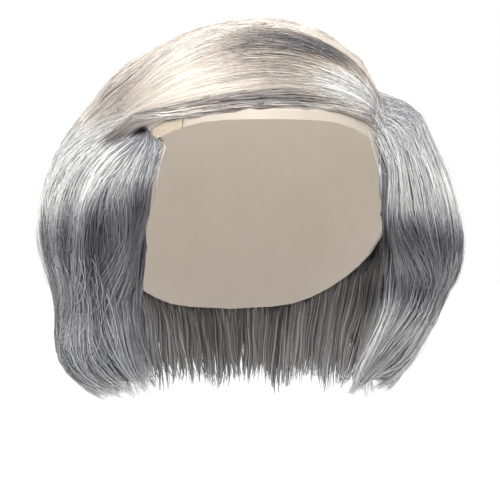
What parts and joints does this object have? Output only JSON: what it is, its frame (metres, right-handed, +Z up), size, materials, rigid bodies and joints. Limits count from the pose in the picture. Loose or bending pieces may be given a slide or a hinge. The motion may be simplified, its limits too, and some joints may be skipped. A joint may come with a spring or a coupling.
{
  "type": "monk wig",
  "caption": "Grey character wig with a bald cloth pate, thin comb-over from a side part, full waved side and back hair, and a pale forehead band.",
  "frame": {"origin": "inside of the cap's crown, where the wig sits on the top of the head", "axes": "+Z up, -Y towards the face, +X towards the wearer's left"},
  "size_m": [0.2233, 0.2128, 0.2033],
  "materials": {
    "pate_cloth": "matte skin-coloured cloth",
    "band_cloth": "smooth matte cream cloth",
    "net": "fine tan net",
    "thin_hair": "combed hair fibre, satin",
    "full_hair": "waved grey hair fibre, satin"
  },
  "bodies": {
    "root": {"cap": "pate_cloth", "forehead_band": "band_cloth", "net_corner": "net", "comb_over": "thin_hair", "side_hair_right": "full_hair", "side_hair_left": "full_hair", "back_hair": "full_hair"}
  },
  "joints": []
}
